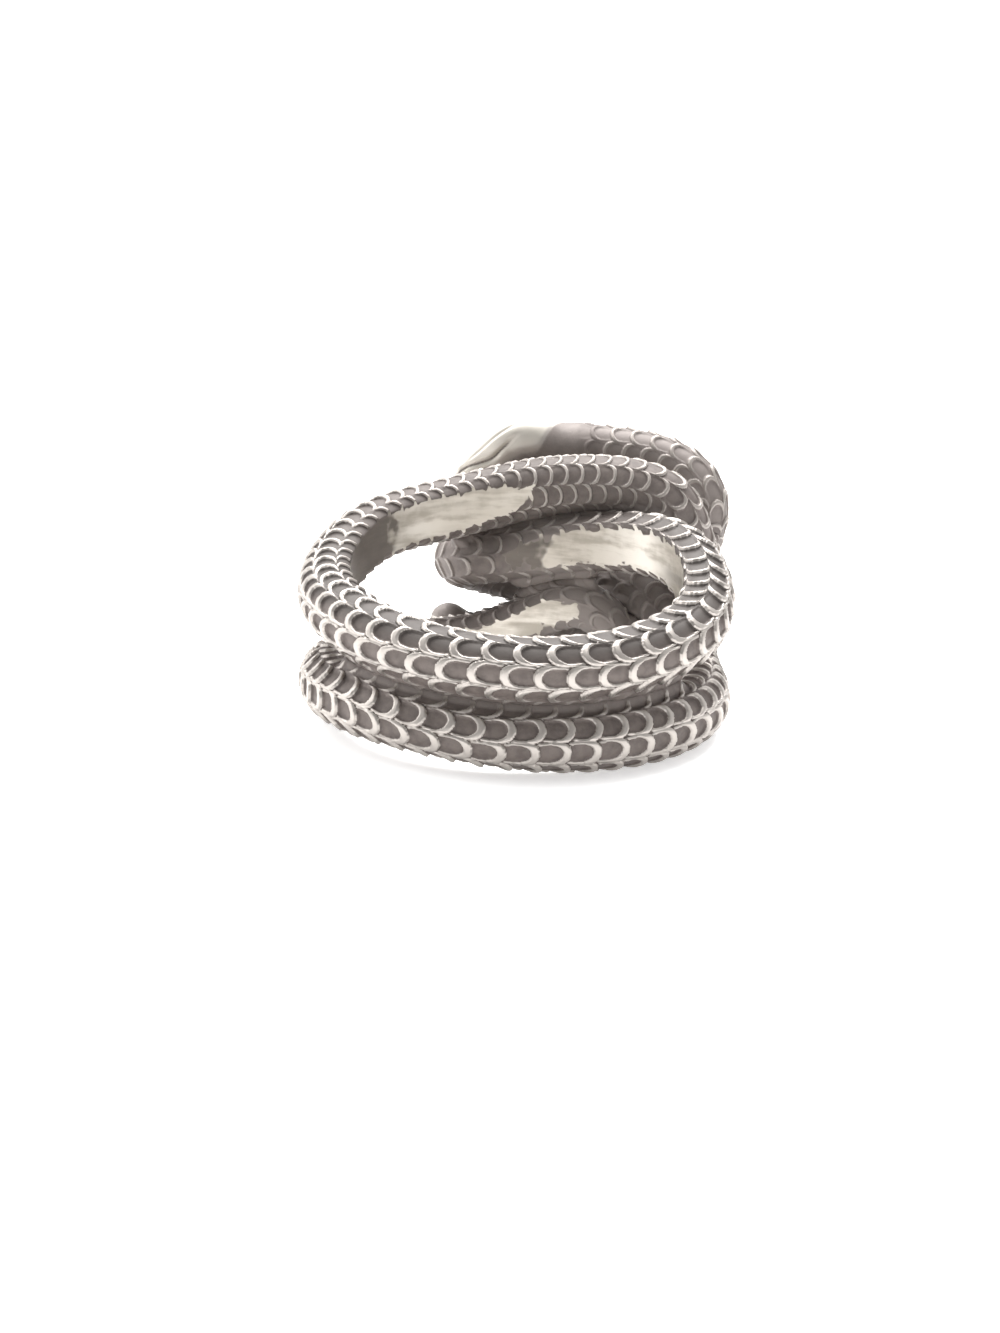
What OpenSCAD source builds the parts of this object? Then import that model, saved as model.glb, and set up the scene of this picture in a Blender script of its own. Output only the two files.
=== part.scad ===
// Finger ring cast as one piece: a snake wound about two and a half times round the finger.
// The body is a tube carried along a free curve, and its scales are pockets sunk between raised rims.
// The finger hole is cut through every turn, so each turn has a flat polished inner face.
// The hole's axis is Z, and the turns lie above each other as they do when the ring lies on its side.

/* [Finger hole] */
// Inside diameter of the ring
finger_d = 18.2; // [16:0.1:20]

/* [Scales] */
// How deep the pocket in each scale is sunk below its rim
pocket_depth = 0.3; // [0.1:0.02:0.36]
// Length of a scale compared with the cast one
scale_stretch = 1; // [0.9:0.05:1.5]

/* [Head] */
// Width of the head across the jaws
head_width = 5.3; // [4.2:0.1:5.6]
// Height of the head from throat to crown
head_height = 3.6; // [3:0.1:4]
// Length of the head from the nose to the back of the jaws
head_length = 6.6; // [5.6:0.1:8]

/* [Hidden] */

finger_r = finger_d / 2;
hole_reach = 40;
sides = 16;
first_side = 18;
fine = 0.02;

// Columns of the route: angle round the hole, distance of the body's centre from the hole's wall,
// height, and radius of the body over the rims of its scales.
angle = 0;
off_wall = 1;
height = 2;
body_r = 3;

tail = [
    [111.5, 4.4, -4.4, 0.9],
    [108.5, 4.4, -4.45, 1.3],
    [103, 4.5, -5.5, 1.1],
    [ 91, 4.5, -5.65, 1.05],
    [ 78, 4.3, -5.55, 1.15],
    [ 67, 3.8, -5.4, 1.25],
    [ 60, 2.9, -4.8, 1.3],
    [ 59, 1.9, -3.7, 1.35]
];

lower_turn = [
    [ 65, 1.2, -2.35, 1.4],
    [ 76, 1.1, -2.55, 1.45],
    [ 91, 1.1, -4.2, 1.5],
    [108, 1.1, -5.1, 1.55],
    [130, 1.05, -4.9, 1.7],
    [155, 1, -4.7, 1.7],
    [180, 1, -4.45, 1.72],
    [210, 1, -4.25, 1.85],
    [240, 1.05, -4.2, 1.72],
    [270, 1.1, -4.65, 1.77],
    [300, 1.1, -4.78, 1.85],
    [330, 1.05, -4.8, 1.9],
    [355, 1.05, -4.85, 1.85],
    [372, 1.1, -4.75, 1.78]
];

outer_rise = [
    [384, 1.6, -4.45, 1.75],
    [396, 2.8, -3.8, 1.75],
    [408, 4.3, -2.8, 1.75],
    [420, 5, -2.1, 1.75],
    [434, 5.1, -2.2, 1.75],
    [447, 5.3, -2.15, 1.75],
    [455, 5.5, -1.75, 1.7],
    [463, 5.2, -1.1, 1.7],
    [465.5, 3.4, -0.5, 1.7],
    [462.5, 1.8, -0.08, 1.66],
    [454, 1.55, 0.08, 1.65]
];

middle_turn = [
    [445, 1.35, 0.46, 1.74],
    [434, 1.25, 1, 1.77],
    [420, 1.25, 1.45, 1.8],
    [405, 1.25, 1.85, 1.85],
    [390, 1.25, 1.9, 1.82],
    [376, 1.15, 1.45, 1.8],
    [362, 1.1, 0.7, 1.8],
    [348, 1.1, 0.15, 1.78],
    [330, 1.1, -0.35, 1.8],
    [305, 1.1, -0.8, 1.8],
    [280, 1.1, -1, 1.75],
    [255, 1.1, -0.82, 1.74],
    [235, 1.1, -0.45, 1.75],
    [215, 1.1, 0, 1.78],
    [195, 1.1, 0.35, 1.78],
    [175, 1.1, 0.7, 1.78]
];

upper_arch = [
    [155, 1.15, 1.75, 1.8],
    [140, 1.15, 2.45, 1.8],
    [125, 1.2, 2.65, 1.83],
    [110, 1.3, 3, 1.85],
    [ 97, 1.35, 3.66, 1.76],
    [ 85, 1.6, 4.17, 1.75],
    [ 74, 2.1, 4.45, 1.7],
    [ 63, 2.8, 4.6, 1.65],
    [ 54, 3.7, 4.35, 1.65],
    [ 49, 4.4, 3.7, 1.6],
    [ 47, 4.8, 2.6, 1.55],
    [ 46, 5.3, 1.2, 1.5]
];

neck_and_head = [
    [48.5, 6.5, 0.2, 1.4],
    [51.2, 8, 0.9, 1.4],
    [ 50, 8.25, 2.6, 1.45],
    [ 53, 8.1, 4.45, 1.5],
    [ 61, 7.5, 5.45, 1.55],
    [ 71, 6.7, 5.6, 1.6],
    [ 80, 6.2, 5.6, 1.65],
    [ 89, 5.9, 5.3, 1.65],
    [ 97, 5.8, 4.5, 1.65],
    [105, 5.7, 3.45, 1.65]
];

route = concat(tail, lower_turn, outer_rise, middle_turn, upper_arch, neck_and_head);
last_row = len(route) - 1;
padded = concat([2 * route[0] - route[1]], route, [2 * route[last_row] - route[last_row - 1]]);

// Length of one scale against the distance along the body from the tail's tip.
scale_lengths = [
    [0, 0.8], [8, 1], [20, 1.11], [42, 1.38], [50, 1.42], [57, 1.33], [62, 1.38], [70, 1.5],
    [85, 1.55], [88, 1.5], [90, 0.75], [95.5, 0.75], [98, 1.38], [104, 1.38], [114, 1.46], [121, 1.5],
    [137, 1.48], [143, 1.3], [149, 1.12], [160, 1.1], [163, 0.93], [170, 0.93], [178, 1.05], [184, 1.15],
    [190, 1.2], [194, 1], [198, 0.8]
];

// How far the rows of scales are turned round the body, in degrees, against the same distance.
row_turns = [
    [0, -15], [43, -28], [47, -12], [51, -7], [54, -15], [60, -22], [66, -26], [80, -10], [100, 0],
    [119, 0], [125, -10], [132, -1], [138, -15], [145, -22], [162, -21], [176, -8], [185, 0]
];

// Half width and half height of the head, as shares of its own, against the distance from the nose,
// as shares of its length.
head_half_widths = [
    [0, 0.12], [0.04, 0.27], [0.12, 0.4], [0.3, 0.67], [0.5, 0.93], [0.66, 1], [0.82, 0.92], [1, 0.63]
];
head_half_heights = [
    [0, 0.14], [0.04, 0.31], [0.12, 0.47], [0.3, 0.7], [0.5, 0.92], [0.66, 1], [0.82, 1], [1, 0.9]
];
neck_blend = 0.35;
crown_side = 20;
plain_tip = 2.4;
bend_limit = 0.72;
wall_margin = 0.35;

function unit(v) = v / norm(v);
function across(v, along) = unit(v - (v * along) * along);

// Cubic B-spline through the rows: four neighbouring rows, each with its own weight.
function row_at(u) =
    let (i = min(floor(u), last_row - 1), f = u - i)
    ((1 - f) ^ 3 * padded[i] + (3 * f ^ 3 - 6 * f ^ 2 + 4) * padded[i + 1]
     + (3 * f ^ 2 + 3 * f + 1 - 3 * f ^ 3) * padded[i + 2] + f ^ 3 * padded[i + 3]) / 6;

function centre_at(u) =
    let (row = row_at(u), r = finger_r + row[off_wall])
    [r * cos(row[angle]), r * sin(row[angle]), row[height]];

function run_at(u) =
    let (a = max(u - fine, 0), b = min(u + fine, last_row))
    (centre_at(b) - centre_at(a)) / (b - a);

// One ring of points at every half scale: each entry is the row it lies at and its distance from the tail.
function half_scale(s) = scale_stretch * lookup(s, scale_lengths) / 2;
stations = [
    for (st = [0, 0]; st[0] < last_row;
         st = [st[0] + half_scale(st[1]) / norm(run_at(st[0])), st[1] + half_scale(st[1])])
        st
];
last_ring = len(stations) - 1;
body_length = stations[last_ring][1];
centres = [for (st = stations) centre_at(st[0])];
runs = [for (st = stations) unit(run_at(st[0]))];

// The side direction is carried from ring to ring without twisting round the body.
tops = [
    for (k = 0, n = across([0, 0, 1], runs[0]); k <= last_ring;
         n = across(n, runs[min(k + 1, last_ring)]), k = k + 1)
        n
];

// A scale fills two sides and two rings, and neighbouring rows are set half a scale apart.
function is_pocket(k, m) = m % 2 == 0 && (k + m / 2) % 2 == 0;
function to_nose(k) = (body_length - stations[k][1]) / head_length;
function relief(k) = stations[k][1] < plain_tip || to_nose(k) < 1.1 ? 0 : pocket_depth;

function head_share(k) = max(0, min(1, (1 + neck_blend - to_nose(k)) / neck_blend));
function half_width(k) =
    let (plain = row_at(stations[k][0])[body_r], h = head_share(k))
    (1 - h) * plain + h * lookup(to_nose(k), head_half_widths) * head_width / 2;
function half_height(k) =
    let (plain = row_at(stations[k][0])[body_r], h = head_share(k))
    (1 - h) * plain + h * lookup(to_nose(k), head_half_heights) * head_height / 2;

// How the body turns at each ring, pointing to the inside of the bend, per millimetre.
bends = [
    for (k = [0 : last_ring])
        let (a = max(k - 1, 0), b = min(k + 1, last_ring))
        (runs[b] - runs[a]) / (stations[b][1] - stations[a][1])
];

// On the inside of a tight bend the body is flattened, so that it never folds into itself.
function kept_inside(reach, pull) = reach * pull > bend_limit ? bend_limit / pull : reach;

function ring_point(k, m) =
    let (a = first_side + lookup(stations[k][1], row_turns) + m * 360 / sides,
         out = tops[k],
         side = cross(runs[k], out),
         crown = out * cos(crown_side) + side * sin(crown_side),
         flank = side * cos(crown_side) - out * sin(crown_side),
         plain = crown * cos(a - crown_side) * half_height(k) + flank * sin(a - crown_side) * half_width(k),
         reach = norm(plain),
         way = plain / reach,
         kept = kept_inside(reach, bends[k] * way),
         rim = centres[k] + way * kept,
         open_side = kept == reach && norm([rim[0], rim[1]]) > finger_r + wall_margin)
    is_pocket(k, m) && open_side ? rim - way * relief(k) : rim;

points = [for (k = [0 : last_ring], m = [0 : sides - 1]) ring_point(k, m)];
function at(k, m) = k * sides + m % sides;

// Each four-sided patch is split so that its pocket corner keeps a face of its own.
function patch(k, m) =
    is_pocket(k, m) || is_pocket(k + 1, m + 1)
    ? [[at(k, m), at(k + 1, m), at(k, m + 1)], [at(k + 1, m), at(k + 1, m + 1), at(k, m + 1)]]
    : [[at(k, m), at(k + 1, m), at(k + 1, m + 1)], [at(k, m), at(k + 1, m + 1), at(k, m + 1)]];

faces = concat(
    [[for (m = [0 : sides - 1]) at(0, m)]],
    [for (k = [0 : last_ring - 1], m = [0 : sides - 1]) each patch(k, m)],
    [[for (m = [sides - 1 : -1 : 0]) at(last_ring, m)]]
);

module snake() {
    polyhedron(points, faces, convexity = 10);
}

module finger_hole() {
    cylinder(h = hole_reach, d = finger_d, center = true, $fn = 128);
}

module snake_ring() {
    color("silver") difference() {
        snake();
        finger_hole();
    }
}

snake_ring();
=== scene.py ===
# Snake ring: the body with its scales, the finger hole and the head, as they look.
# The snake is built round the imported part, in the same frame and along the same line.
import math

import bpy
import numpy as np
from mathutils import Matrix, Vector


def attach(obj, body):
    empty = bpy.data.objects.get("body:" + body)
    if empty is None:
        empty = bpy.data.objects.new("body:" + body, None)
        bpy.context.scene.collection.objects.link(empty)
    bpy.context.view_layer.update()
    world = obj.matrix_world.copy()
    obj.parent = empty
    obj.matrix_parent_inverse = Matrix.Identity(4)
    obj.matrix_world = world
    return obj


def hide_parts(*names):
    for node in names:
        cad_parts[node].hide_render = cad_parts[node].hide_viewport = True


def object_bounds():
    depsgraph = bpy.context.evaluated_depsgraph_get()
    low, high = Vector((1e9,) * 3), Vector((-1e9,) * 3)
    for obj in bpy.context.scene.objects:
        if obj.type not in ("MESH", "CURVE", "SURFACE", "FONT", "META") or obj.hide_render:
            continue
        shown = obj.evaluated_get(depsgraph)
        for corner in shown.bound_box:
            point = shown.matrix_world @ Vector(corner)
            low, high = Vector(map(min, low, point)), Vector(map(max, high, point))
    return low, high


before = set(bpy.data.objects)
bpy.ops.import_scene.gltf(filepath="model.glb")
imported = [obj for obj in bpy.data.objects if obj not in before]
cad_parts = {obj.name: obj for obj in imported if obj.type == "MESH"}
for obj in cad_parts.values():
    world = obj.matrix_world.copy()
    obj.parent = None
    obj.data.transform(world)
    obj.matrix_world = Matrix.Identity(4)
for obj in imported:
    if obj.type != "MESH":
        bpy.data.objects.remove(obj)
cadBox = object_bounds()
millimetre = 0.001
print("loaded the packed ring")

# The snake's line from the tail to the head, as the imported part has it. Columns: angle round the finger
# hole in degrees, distance of the body's centre from the hole's wall, height, and radius over the lips.
tailRows = [
    (111.5, 4.4, -4.4, 0.9),
    (108.5, 4.4, -4.45, 1.3),
    (103, 4.5, -5.5, 1.1),
    (91, 4.5, -5.65, 1.05),
    (78, 4.3, -5.55, 1.15),
    (67, 3.8, -5.4, 1.25),
    (60, 2.9, -4.8, 1.3),
    (59, 1.9, -3.7, 1.35),
]
lowerTurnRows = [
    (65, 1.2, -2.35, 1.4),
    (76, 1.1, -2.55, 1.45),
    (91, 1.1, -4.2, 1.5),
    (108, 1.1, -5.1, 1.55),
    (130, 1.05, -4.9, 1.7),
    (155, 1, -4.7, 1.7),
    (180, 1, -4.45, 1.72),
    (210, 1, -4.25, 1.85),
    (240, 1.05, -4.2, 1.72),
    (270, 1.1, -4.65, 1.77),
    (300, 1.1, -4.78, 1.85),
    (330, 1.05, -4.8, 1.9),
    (355, 1.05, -4.85, 1.85),
    (372, 1.1, -4.75, 1.78),
]
outerRiseRows = [
    (384, 1.6, -4.45, 1.75),
    (396, 2.8, -3.8, 1.75),
    (408, 4.3, -2.8, 1.75),
    (420, 5, -2.1, 1.75),
    (434, 5.1, -2.2, 1.75),
    (447, 5.3, -2.15, 1.75),
    (455, 5.5, -1.75, 1.7),
    (463, 5.2, -1.1, 1.7),
    (465.5, 3.4, -0.5, 1.7),
    (462.5, 1.8, -0.08, 1.66),
    (454, 1.55, 0.08, 1.65),
]
upperTurnRows = [
    (445, 1.35, 0.46, 1.74),
    (434, 1.25, 1, 1.77),
    (420, 1.25, 1.45, 1.8),
    (405, 1.25, 1.85, 1.85),
    (390, 1.25, 1.9, 1.82),
    (376, 1.15, 1.45, 1.8),
    (362, 1.1, 0.7, 1.8),
    (348, 1.1, 0.15, 1.78),
    (330, 1.1, -0.35, 1.8),
    (305, 1.1, -0.8, 1.8),
    (280, 1.1, -1, 1.75),
    (255, 1.1, -0.82, 1.74),
    (235, 1.1, -0.45, 1.75),
    (215, 1.1, 0, 1.78),
    (195, 1.1, 0.35, 1.78),
    (175, 1.1, 0.7, 1.78),
]
archRows = [
    (155, 1.15, 1.75, 1.8),
    (140, 1.15, 2.45, 1.8),
    (125, 1.2, 2.65, 1.83),
    (110, 1.3, 3, 1.85),
    (97, 1.35, 3.66, 1.76),
    (85, 1.6, 4.17, 1.75),
    (74, 2.1, 4.45, 1.7),
    (63, 2.8, 4.6, 1.65),
    (54, 3.7, 4.35, 1.65),
    (49, 4.4, 3.7, 1.6),
    (47, 4.8, 2.6, 1.55),
    (46, 5.3, 1.2, 1.5),
]
neckAndHeadRows = [
    (48.5, 6.5, 0.2, 1.4),
    (51.2, 8, 0.9, 1.4),
    (50, 8.25, 2.6, 1.45),
    (53, 8.1, 4.45, 1.5),
    (61, 7.5, 5.45, 1.55),
    (71, 6.7, 5.6, 1.6),
    (80, 6.2, 5.6, 1.65),
    (89, 5.9, 5.3, 1.65),
    (97, 5.8, 4.5, 1.65),
    (105, 5.7, 3.45, 1.65),
]
allRows = tailRows + lowerTurnRows + outerRiseRows + upperTurnRows + archRows + neckAndHeadRows
route = np.array(allRows, float)

# What a user would change on the body. Lengths are in millimetres.
bodyValues = {
    "holeRadius": 9.1,
    "around": 144,            # points round the body
    "ringsPerScale": 20,
    "rows": 8,                # rows of scales round the body
    "firstRow": 18.0,         # degrees from the carried direction to the middle of the first row
    "bendLimit": 0.72,        # how far the body may reach into a bend, as a share of the bend's radius
    "squeeze": (0.45, 1.8),   # least and greatest length of a scale in a bend, as shares
    "tipRounding": 1.15,      # length of the rounded tip of the tail
    "leastRadius": 1.05,      # of the body, but for that tip
    "samples": 12000,         # points along the line while its length is measured
    "pieceNames": ["tailEnd", "lowerTurn", "outerRise", "upperTurn", "archAndHead"],
}

# Length of one scale against the distance along the body from the tail's tip.
scaleLengths = [
    (0, 0.8), (8, 1), (20, 1.11), (42, 1.38), (50, 1.42), (57, 1.33), (62, 1.38), (70, 1.5), (85, 1.55),
    (88, 1.5), (90, 0.75), (95.5, 0.75), (98, 1.38), (104, 1.38), (114, 1.46), (121, 1.5), (137, 1.48),
    (143, 1.3), (149, 1.12), (160, 1.1), (163, 0.93), (170, 0.93), (178, 1.05), (184, 1.15), (190, 1.2),
    (194, 1), (198, 0.8),
]

# How far the rows of scales are turned round the body, in degrees, against the same distance.
rowTurns = [
    (0, -15), (43, -28), (47, -12), (51, -7), (54, -15), (60, -22), (66, -26), (80, -10), (100, 0),
    (119, 0), (125, -10), (132, -1), (138, -15), (145, -22), (162, -21), (176, -8), (185, 0),
]


# Smooth step: 0 up to 0, 1 from 1 on, and three times the square less twice the cube between them.
def smoothStep(x):
    x = np.clip(x, 0, 1)
    return x * x * (3 - 2 * x)


# Smooth step from 0 at the first value to 1 at the second, which may be the lower one.
def ramp(x, first, second):
    return smoothStep((x - first) / (second - first))


# Each vector divided by its own length.
def unitRows(vectors):
    return vectors / np.maximum(np.linalg.norm(vectors, axis=-1, keepdims=True), 1e-12)


# Straight interpolation in a short table of pairs, with its end values kept beyond both ends.
def lookUp(table, x):
    return np.interp(x, *np.array(table, float).T)


# The value of such a table at every ring of the body, as a column.
def alongBody(line, table):
    return lookUp(table, line["along"])[:, None]


# Cubic B-spline: each point is a mix of four neighbouring rows, with weights that are cubic in how far the
# point lies between the middle two.
def splineAt(rows, place):
    padded = np.vstack([2 * rows[0] - rows[1], rows, 2 * rows[-1] - rows[-2]])
    first = np.clip(place.astype(int), 0, len(rows) - 2)
    f = (place - first)[:, None]
    return (
        (1 - f) ** 3 * padded[first]
        + (3 * f ** 3 - 6 * f ** 2 + 4) * padded[first + 1]
        + (3 * f ** 2 + 3 * f + 1 - 3 * f ** 3) * padded[first + 2]
        + f ** 3 * padded[first + 3]
    ) / 6


# Centre and radius of the body: the row's angle and its distance from the hole's axis give x and y.
def lineAt(place):
    row = splineAt(route, place)
    turn = np.radians(row[:, 0])
    reach = bodyValues["holeRadius"] + row[:, 1]
    return np.stack([reach * np.cos(turn), reach * np.sin(turn), row[:, 2]], 1), row[:, 3]


# Smooth curve through a short table: cubic between the points, each slope taken from the neighbours.
def curveThrough(table, x):
    xs, ys = np.array(table, float).T
    slopes = np.gradient(ys, xs)
    i = np.clip(np.searchsorted(xs, x) - 1, 0, len(xs) - 2)
    width = xs[i + 1] - xs[i]
    f = np.clip((x - xs[i]) / width, 0, 1)
    return (
        ys[i] * (1 + 2 * f) * (1 - f) ** 2
        + slopes[i] * width * f * (1 - f) ** 2
        + ys[i + 1] * f * f * (3 - 2 * f)
        + slopes[i + 1] * width * f * f * (f - 1)
    )


# The rings of the body. They lie at even steps of the scale pattern, which is the sum of the distance over
# the scale's length, so each scale gets the same number of rings. The side direction is carried from ring
# to ring without twisting, and the bend is the change of the running direction per millimetre.
def makeLine():
    place = np.linspace(0, len(route) - 1, bodyValues["samples"])
    centre, _ = lineAt(place)
    along = np.r_[0, np.cumsum(np.linalg.norm(np.diff(centre, axis=0), axis=1))]
    pace = 1 / lookUp(scaleLengths, along)
    phase = np.r_[0, np.cumsum((pace[1:] + pace[:-1]) / 2 * np.diff(along))]
    pieces = len(bodyValues["pieceNames"])
    rings = int(phase[-1] * bodyValues["ringsPerScale"] / pieces) * pieces + 1
    ringPhase = np.linspace(0, phase[-1], rings)
    centre, radius = lineAt(np.interp(ringPhase, phase, place))
    along = np.interp(ringPhase, phase, along)
    run = unitRows(np.gradient(centre, along, axis=0))
    bend = np.gradient(run, along, axis=0)
    tops = np.empty_like(run)
    carried = np.array([0.0, 0.0, 1.0])
    for k in range(rings):
        carried = carried - (carried @ run[k]) * run[k]
        carried = carried / np.linalg.norm(carried)
        tops[k] = carried
    return {
        "centre": centre, "radius": radius, "along": along, "phase": ringPhase, "run": run,
        "bend": bend, "top": tops, "side": np.cross(run, tops), "length": along[-1],
    }


# What a user would change on the scales. Lengths along a lip are shares of a scale's length, widths across
# it are shares of a row's width, and the rest says what it is. The pairs marked worn are for a scale that
# nothing rubs and for one that the hand wears.
scaleValues = {
    "depth": 0.25,              # millimetres from the top of a lip to the floor of a pocket
    "fullLength": (1.3, 0.3),   # millimetres of scale with full depth, and the least share of it
    "fullRadius": (1.6, 0.6),   # the same for the body's radius
    "edge": 0.09,               # millimetres over which the side of a lip rises
    "outerLong": 0.5,           # the rounded end of a lip
    "outerBack": 1.3,           # its arms, which draw together behind
    "outerWide": 0.545,
    "endWidth": (0.19, 0.27),   # worn: length along the body of the lip's closed end
    "innerLong": 0.42,          # the same as for the lip, for the pocket in it
    "innerBack": 0.72,
    "innerWide": (0.42, 0.39),  # worn
    "armDrop": (0.72, 0.25),    # worn: how much lower the arms of a lip lie than its closed end
    "armFall": (0.15, 0.95),    # where along the scale they fall, behind its closed end
    "slit": 0.1,                # millimetres across the dark slit between two lips
    "slitDepth": 0.5,           # as a share of the lip's height
    "tailPlain": (2.4, 3.2),    # millimetres from the tail's tip where the scales begin
    "headPlain": (1.14, 1.3),   # head lengths from the nose where they end
    "wornFrom": (0.35, 0.95),   # how squarely a worn scale faces away from the finger hole
    "uneven": 0.007,            # millimetres that the edges of the lips wander
    # the wandering is a sum of waves: turns per scale along the body, radians per row round it, and start
    "waves": [(1.83, 7.1, 0.0), (3.37, -11.9, 1.3), (5.21, 17.3, 4.0)],
    # how far the scales of a row lag behind the even pattern, in scales, against the distance along the body
    "slips": {
        0: [
            (46, 0.14), (47.5, 0), (53.6, -0.34), (58, -0.48), (60.5, -0.5), (63, -0.6), (65, -0.72),
            (72, -1),
        ],
        4: [(131, 0), (136, 0.32), (142, 0.32), (150, 0)],
        6: [
            (117, 1), (120.8, 0.54), (122.6, 0.29), (124.3, 0.18), (126, 0.07), (128, 0), (130, -0.13),
            (134, -0.2),
        ],
        7: [(145, 0), (152, -0.33), (162, -0.33), (172, 0)],
    },
}


# Between a pair's value where nothing rubs the scale and its value where the hand wears it.
def byWear(pair, worn):
    return pair[0] + (pair[1] - pair[0]) * worn


# Distance inside an egg, which is two half ellipses of the same width, back to back. It is one less the
# share of the way out from the middle, divided by how fast that share grows there.
def insideEgg(behind, aside, frontLong, backLong, wideWay):
    away = behind - frontLong
    longWay = np.where(away < 0, frontLong, backLong)
    share = np.maximum(np.hypot(away / longWay, aside / wideWay), 1e-6)
    slope = np.hypot(away / longWay ** 2, aside / wideWay ** 2) / share
    return (1 - share) / np.maximum(slope, 1e-6)


# A scale is a raised lip like a horseshoe, its closed end towards the head. It is what lies inside the
# outer egg and outside the inner one, and it falls from its closed end to the ends of its arms.
def oneLip(behind, aside, period, rowWidth, worn, wander):
    v = scaleValues
    outerSizes = v["outerLong"] * period, v["outerBack"] * period, v["outerWide"] * rowWidth
    innerSizes = v["innerLong"] * period, v["innerBack"] * period, byWear(v["innerWide"], worn) * rowWidth
    outer = insideEgg(behind, aside, *outerSizes) + wander
    inner = insideEgg(behind - byWear(v["endWidth"], worn) * period, aside, *innerSizes) - wander
    height = 1 - byWear(v["armDrop"], worn) * ramp(behind / period, *v["armFall"])
    height = height * smoothStep(outer / v["edge"] + 0.5) * smoothStep(0.5 - inner / v["edge"])
    inLip = outer / np.maximum(outer - inner, 1e-3)
    return height, outer, inLip


# The closed end of each scale lies over the arms of the scale ahead of it, with a slit between them. The
# higher of the two counts. Given back are its height, the place across it and the depth inside a scale.
def lipHeight(phase, aside, period, rowWidth, worn, wander):
    v = scaleValues
    behind = (np.ceil(phase) - phase) * period
    lip, outer, inLip = oneLip(behind, aside, period, rowWidth, worn, wander)
    under, underOuter, underIn = oneLip(behind + period, aside, period, rowWidth, worn, wander)
    uncovered = 1 - smoothStep(outer / v["edge"] + 0.5)
    slit = 1 - v["slitDepth"] * smoothStep(1.5 + outer / v["slit"])
    under = under * uncovered * slit
    inside = np.where(outer > -v["slit"], outer, underOuter)
    return np.maximum(lip, under), np.where(under > lip, underIn, inLip), inside


# Height of the scales, 0 in the pockets and 1 on the lips, and the place across the highest lip, 0 outside
# to 1 inside. Each point looks at its own row of scales and at both neighbours, which lie half a scale on.
def scaleRelief(line, angles, period, rowWidth, worn):
    v, rows = scaleValues, bodyValues["rows"]
    turns = alongBody(line, rowTurns)
    row = (np.degrees(angles)[None, :] - bodyValues["firstRow"] - turns) / 360 * rows
    slips = np.zeros((rows, len(line["phase"])))
    for number, table in v["slips"].items():
        slips[number] = lookUp(table, line["along"])
    linePhase = line["phase"][:, None]
    wander = v["uneven"] * sum(np.sin(a * 2 * np.pi * linePhase + b * row + c) for a, b, c in v["waves"])
    nearest = np.round(row)
    ring = np.arange(len(linePhase))[:, None]
    relief, place = np.zeros(row.shape), np.zeros(row.shape)
    deepest, second = np.full(row.shape, -1.0), np.full(row.shape, -1.0)
    for step in (-1, 0, 1):
        lane = nearest + step
        phase = linePhase - 0.5 * (lane % 2) + slips[(lane % rows).astype(int), ring]
        aside = np.abs(row - lane) * rowWidth
        height, inLip, inside = lipHeight(phase, aside, period, rowWidth, worn, wander)
        place = np.where(height > relief, inLip, place)
        relief = np.maximum(relief, height)
        second = np.maximum(second, np.minimum(deepest, inside))
        deepest = np.maximum(deepest, inside)
    # a slit also runs where a point lies equally deep inside the scales of two rows
    meeting = np.exp(-((deepest - second) / v["slit"]) ** 2) * smoothStep(1 + second / v["slit"])
    return relief * (1 - v["slitDepth"] * meeting), np.clip(place, -1, 2)


# What a user would change on the head. Lengths are in millimetres and angles in degrees from the crown.
# Places, starts, ends and the first numbers of the tables are shares of the head's length from the nose,
# unless a note says otherwise.
headValues = {
    "length": 6.6,
    "width": 5.3,
    "height": 3.6,
    "crownSide": 20.0,          # how far the crown is turned from the body's carried direction
    "neck": (1.35, 1),          # where the body turns into the head
    "halfWidths": [
        (0, 0.0), (0.015, 0.17), (0.05, 0.3), (0.12, 0.42), (0.3, 0.67), (0.5, 0.93), (0.66, 1),
        (0.82, 0.92), (1, 0.63), (1.4, 0.63),
    ],
    "halfHeights": [
        (0, 0.0), (0.015, 0.19), (0.05, 0.34), (0.12, 0.48), (0.3, 0.7), (0.5, 0.92), (0.66, 1),
        (0.82, 1), (1, 0.9), (1.4, 0.9),
    ],
    "reliefEnd": 1.2,           # of all that follows
    "mouth": [(0, 100), (0.1, 104), (0.25, 125), (0.38, 133), (0.5, 126), (0.68, 111)],
    "mouthStart": (0, 0.03),
    "mouthEnd": (0.7, 0.54),
    "mouthDepth": 0.13,
    "mouthWidth": 0.16,
    "jawSetBack": 0.08,
    "jawEdge": 0.14,
    "jawBottom": (165, 135),    # the angles between which the set-back fades under the head
    "ridge": [(0, 92), (0.3, 102), (0.5, 100), (0.7, 91), (0.8, 84)],  # the line along the snout
    "ridgeStart": (0.12, 0.32),
    "ridgeEnd": (0.76, 0.56),
    "ridgeDepth": 0.06,
    "ridgeWidth": 0.11,
    "ridgeDark": 0.55,
    "eyePlace": 0.42,
    "eyeAngle": 36.0,
    "eyeRadius": 0.42,
    "eyeHeight": 0.14,
    "socket": 0.09,             # depth and width of the groove round the eye
    "socketGap": 0.05,          # from the eye's edge to the middle of that groove
    "socketDark": 0.8,
    "browPlace": 0.47,
    "browAngle": 14.0,
    "browSizes": (1.3, 0.34),
    "browHeight": 0.12,
    "nostrilPlace": 0.6,        # millimetres from the nose
    "nostrilAngle": 52.0,
    "nostrilRadius": 0.11,
    "nostrilDepth": 0.1,
}


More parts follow.
